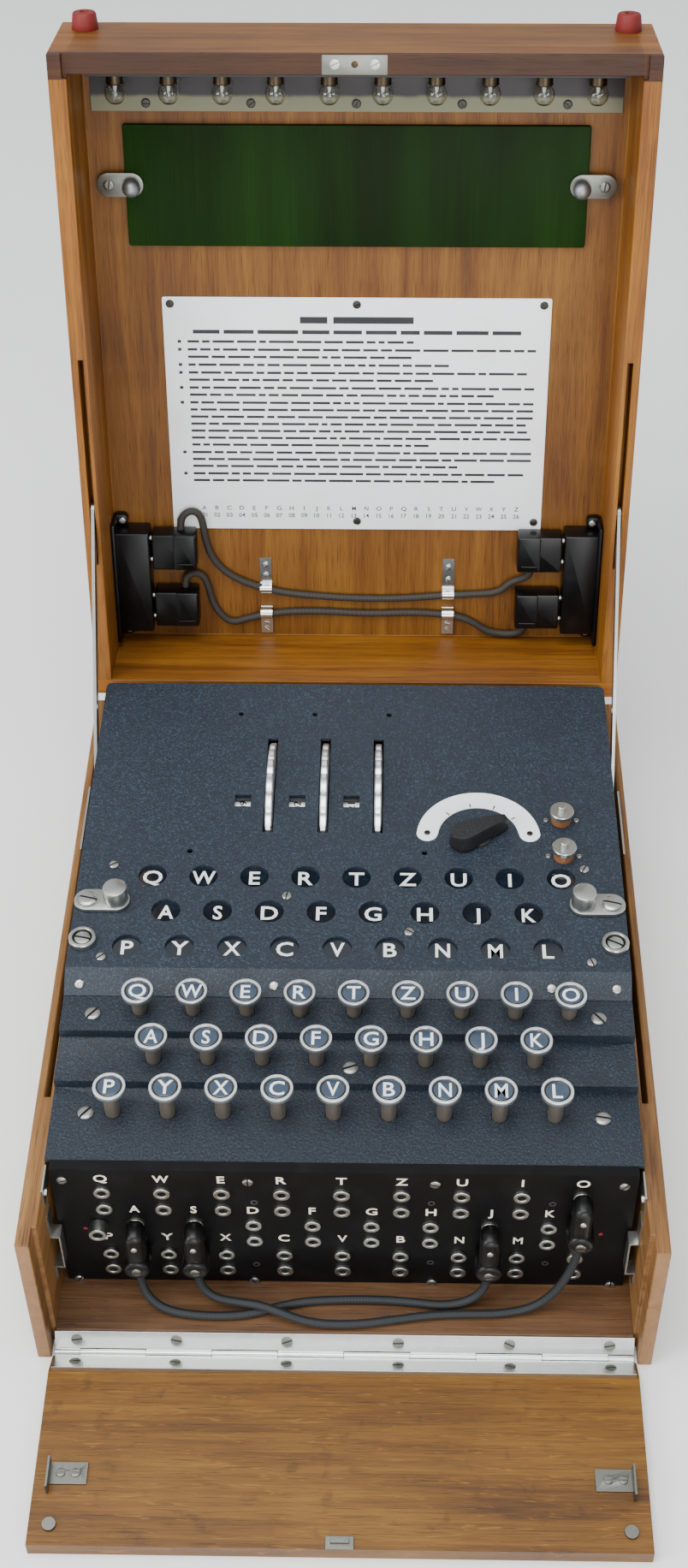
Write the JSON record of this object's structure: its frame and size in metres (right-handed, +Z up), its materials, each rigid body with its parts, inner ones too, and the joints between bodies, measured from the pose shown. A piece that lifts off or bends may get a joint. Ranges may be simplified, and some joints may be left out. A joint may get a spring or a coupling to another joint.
{
  "type": "rotor cipher machine",
  "caption": "Portable rotor cipher machine in an open wooden case with keys, lamp windows, finger wheels, a plugboard with patch cords, a folded flap and a lid of spares.",
  "frame": {"origin": "centre of the wooden case's underside", "axes": "+Z up, -Y towards the user and the front flap, +X to the user's right"},
  "size_m": [0.28, 0.5575, 0.4286],
  "materials": {
    "oak": "varnished",
    "nickel": "satin",
    "frame_steel": "satin",
    "black_paint": "crackle",
    "lamp_glass": "clear",
    "socket_metal": "satin",
    "bakelite": "gloss",
    "cord": "matt",
    "rotor_steel": "satin",
    "fitting_nickel": "satin",
    "strip_aluminium": "satin",
    "green_filter": "satin",
    "red_rubber": "matt",
    "stay_steel": "satin",
    "key_cap": "gloss"
  },
  "bodies": {
    "case": {"case_floor": "oak", "case_walls": "oak", "case_metalwork": "nickel", "flap_hinge_leaf": "nickel", "chassis": "frame_steel", "keyboard_deck": "black_paint", "lamp_board": "lamp_glass", "plugboard": "black_paint", "plugboard_sockets": "socket_metal", "patch_plugs": "bakelite", "patch_cord_a": "cord", "patch_cord_b": "cord", "rotor_spindle": "frame_steel"},
    "lid": {"lid_boards": "oak", "lid_fittings": "strip_aluminium", "spare_bulbs": "lamp_glass", "filter_panel": "green_filter", "spare_plugs": "bakelite", "spare_cords": "cord", "lid_feet": "red_rubber"},
    "flap": {"flap_board": "oak", "flap_fittings": "nickel"},
    "cover": {"top_cover": "black_paint", "cover_fittings": "fitting_nickel"},
    "switch": {"switch_knob": "bakelite"},
    "lever_left": {"release_lever_left": "fitting_nickel"},
    "lever_right": {"release_lever_right": "fitting_nickel"},
    "rotor_left_body": {"rotor_left": "rotor_steel"},
    "rotor_middle_body": {"rotor_middle": "rotor_steel"},
    "rotor_right_body": {"rotor_right": "rotor_steel"},
    "clip_left": {"filter_clip_left": "nickel"},
    "clip_right": {"filter_clip_right": "nickel"},
    "stay_left_body": {"stay_left": "stay_steel"},
    "stay_right_body": {"stay_right": "stay_steel"},
    "key_body_q": {"key_q": "key_cap"},
    "key_body_w": {"key_w": "key_cap"},
    "key_body_e": {"key_e": "key_cap"},
    "key_body_r": {"key_r": "key_cap"},
    "key_body_t": {"key_t": "key_cap"},
    "key_body_z": {"key_z": "key_cap"},
    "key_body_u": {"key_u": "key_cap"},
    "key_body_i": {"key_i": "key_cap"},
    "key_body_o": {"key_o": "key_cap"},
    "key_body_a": {"key_a": "key_cap"},
    "key_body_s": {"key_s": "key_cap"},
    "key_body_d": {"key_d": "key_cap"},
    "key_body_f": {"key_f": "key_cap"},
    "key_body_g": {"key_g": "key_cap"},
    "key_body_h": {"key_h": "key_cap"},
    "key_body_j": {"key_j": "key_cap"},
    "key_body_k": {"key_k": "key_cap"},
    "key_body_p": {"key_p": "key_cap"},
    "key_body_y": {"key_y": "key_cap"},
    "key_body_x": {"key_x": "key_cap"},
    "key_body_c": {"key_c": "key_cap"},
    "key_body_v": {"key_v": "key_cap"},
    "key_body_b": {"key_b": "key_cap"},
    "key_body_n": {"key_n": "key_cap"},
    "key_body_m": {"key_m": "key_cap"},
    "key_body_l": {"key_l": "key_cap"}
  },
  "joints": [
    {"name": "lid_hinge", "type": "hinge", "parent": "case", "child": "lid", "pos_m": [0, 0.1721, 0.0931], "axis": [1, 0, 0], "range_deg": [0, 101.4]},
    {"name": "flap_hinge", "type": "hinge", "parent": "case", "child": "flap", "pos_m": [0, -0.1681, 0.0019], "axis": [1, 0, 0], "range_deg": [-90, 58]},
    {"name": "cover_hinge", "type": "hinge", "parent": "case", "child": "cover", "pos_m": [0, 0.1433, 0.1135], "axis": [1, 0, 0], "range_deg": [-80, 0]},
    {"name": "switch_turn", "type": "hinge", "parent": "cover", "child": "switch", "pos_m": [0.0625, 0.0475, 0.1175], "axis": [0, 0, 1], "range_deg": [-64, 60]},
    {"name": "release_left_turn", "type": "hinge", "parent": "cover", "child": "lever_left", "pos_m": [-0.1245, 0.0033, 0.1175], "axis": [0, 0, 1], "range_deg": [0, 90]},
    {"name": "release_right_turn", "type": "hinge", "parent": "cover", "child": "lever_right", "pos_m": [0.1245, 0.0033, 0.1175], "axis": [0, 0, 1], "range_deg": [-90, 0]},
    {"name": "rotor_left_turn", "type": "hinge", "parent": "case", "child": "rotor_left_body", "pos_m": [0, 0.083, 0.0785], "axis": [1, 0, 0], "continuous": true},
    {"name": "rotor_middle_turn", "type": "hinge", "parent": "case", "child": "rotor_middle_body", "pos_m": [0, 0.083, 0.0785], "axis": [1, 0, 0], "continuous": true},
    {"name": "rotor_right_turn", "type": "hinge", "parent": "case", "child": "rotor_right_body", "pos_m": [0, 0.083, 0.0785], "axis": [1, 0, 0], "continuous": true},
    {"name": "clip_left_turn", "type": "hinge", "parent": "lid", "child": "clip_left", "pos_m": [-0.1215, 0.27417, 0.34484], "axis": [0, 0.9803, -0.1977], "range_deg": [0, 90]},
    {"name": "clip_right_turn", "type": "hinge", "parent": "lid", "child": "clip_right", "pos_m": [0.1215, 0.27417, 0.34484], "axis": [0, 0.9803, -0.1977], "range_deg": [-90, 0]},
    {"name": "stay_left_turn", "type": "hinge", "parent": "lid", "child": "stay_left_body", "pos_m": [-0.135, 0.19886, 0.20002], "axis": [-1, 0, 0], "range_deg": [0, 149]},
    {"name": "stay_right_turn", "type": "hinge", "parent": "lid", "child": "stay_right_body", "pos_m": [0.135, 0.19886, 0.20002], "axis": [-1, 0, 0], "range_deg": [0, 149]},
    {"name": "press_q", "type": "slide", "parent": "case", "child": "key_body_q", "axis": [0, 0, -1], "range_m": [0, 0.0045], "stiffness_N_per_m": 100, "springref_m": -0.005},
    {"name": "press_w", "type": "slide", "parent": "case", "child": "key_body_w", "axis": [0, 0, -1], "range_m": [0, 0.0045], "stiffness_N_per_m": 100, "springref_m": -0.005},
    {"name": "press_e", "type": "slide", "parent": "case", "child": "key_body_e", "axis": [0, 0, -1], "range_m": [0, 0.0045], "stiffness_N_per_m": 100, "springref_m": -0.005},
    {"name": "press_r", "type": "slide", "parent": "case", "child": "key_body_r", "axis": [0, 0, -1], "range_m": [0, 0.0045], "stiffness_N_per_m": 100, "springref_m": -0.005},
    {"name": "press_t", "type": "slide", "parent": "case", "child": "key_body_t", "axis": [0, 0, -1], "range_m": [0, 0.0045], "stiffness_N_per_m": 100, "springref_m": -0.005},
    {"name": "press_z", "type": "slide", "parent": "case", "child": "key_body_z", "axis": [0, 0, -1], "range_m": [0, 0.0045], "stiffness_N_per_m": 100, "springref_m": -0.005},
    {"name": "press_u", "type": "slide", "parent": "case", "child": "key_body_u", "axis": [0, 0, -1], "range_m": [0, 0.0045], "stiffness_N_per_m": 100, "springref_m": -0.005},
    {"name": "press_i", "type": "slide", "parent": "case", "child": "key_body_i", "axis": [0, 0, -1], "range_m": [0, 0.0045], "stiffness_N_per_m": 100, "springref_m": -0.005},
    {"name": "press_o", "type": "slide", "parent": "case", "child": "key_body_o", "axis": [0, 0, -1], "range_m": [0, 0.0045], "stiffness_N_per_m": 100, "springref_m": -0.005},
    {"name": "press_a", "type": "slide", "parent": "case", "child": "key_body_a", "axis": [0, 0, -1], "range_m": [0, 0.0045], "stiffness_N_per_m": 100, "springref_m": -0.005},
    {"name": "press_s", "type": "slide", "parent": "case", "child": "key_body_s", "axis": [0, 0, -1], "range_m": [0, 0.0045], "stiffness_N_per_m": 100, "springref_m": -0.005},
    {"name": "press_d", "type": "slide", "parent": "case", "child": "key_body_d", "axis": [0, 0, -1], "range_m": [0, 0.0045], "stiffness_N_per_m": 100, "springref_m": -0.005},
    {"name": "press_f", "type": "slide", "parent": "case", "child": "key_body_f", "axis": [0, 0, -1], "range_m": [0, 0.0045], "stiffness_N_per_m": 100, "springref_m": -0.005},
    {"name": "press_g", "type": "slide", "parent": "case", "child": "key_body_g", "axis": [0, 0, -1], "range_m": [0, 0.0045], "stiffness_N_per_m": 100, "springref_m": -0.005},
    {"name": "press_h", "type": "slide", "parent": "case", "child": "key_body_h", "axis": [0, 0, -1], "range_m": [0, 0.0045], "stiffness_N_per_m": 100, "springref_m": -0.005},
    {"name": "press_j", "type": "slide", "parent": "case", "child": "key_body_j", "axis": [0, 0, -1], "range_m": [0, 0.0045], "stiffness_N_per_m": 100, "springref_m": -0.005},
    {"name": "press_k", "type": "slide", "parent": "case", "child": "key_body_k", "axis": [0, 0, -1], "range_m": [0, 0.0045], "stiffness_N_per_m": 100, "springref_m": -0.005},
    {"name": "press_p", "type": "slide", "parent": "case", "child": "key_body_p", "axis": [0, 0, -1], "range_m": [0, 0.0045], "stiffness_N_per_m": 100, "springref_m": -0.005},
    {"name": "press_y", "type": "slide", "parent": "case", "child": "key_body_y", "axis": [0, 0, -1], "range_m": [0, 0.0045], "stiffness_N_per_m": 100, "springref_m": -0.005},
    {"name": "press_x", "type": "slide", "parent": "case", "child": "key_body_x", "axis": [0, 0, -1], "range_m": [0, 0.0045], "stiffness_N_per_m": 100, "springref_m": -0.005},
    {"name": "press_c", "type": "slide", "parent": "case", "child": "key_body_c", "axis": [0, 0, -1], "range_m": [0, 0.0045], "stiffness_N_per_m": 100, "springref_m": -0.005},
    {"name": "press_v", "type": "slide", "parent": "case", "child": "key_body_v", "axis": [0, 0, -1], "range_m": [0, 0.0045], "stiffness_N_per_m": 100, "springref_m": -0.005},
    {"name": "press_b", "type": "slide", "parent": "case", "child": "key_body_b", "axis": [0, 0, -1], "range_m": [0, 0.0045], "stiffness_N_per_m": 100, "springref_m": -0.005},
    {"name": "press_n", "type": "slide", "parent": "case", "child": "key_body_n", "axis": [0, 0, -1], "range_m": [0, 0.0045], "stiffness_N_per_m": 100, "springref_m": -0.005},
    {"name": "press_m", "type": "slide", "parent": "case", "child": "key_body_m", "axis": [0, 0, -1], "range_m": [0, 0.0045], "stiffness_N_per_m": 100, "springref_m": -0.005},
    {"name": "press_l", "type": "slide", "parent": "case", "child": "key_body_l", "axis": [0, 0, -1], "range_m": [0, 0.0045], "stiffness_N_per_m": 100, "springref_m": -0.005}
  ],
  "couplings": [
    {"joint": "stay_left_turn", "follows": "lid_hinge", "ratio": 1.4635},
    {"joint": "stay_right_turn", "follows": "lid_hinge", "ratio": 1.4635}
  ]
}
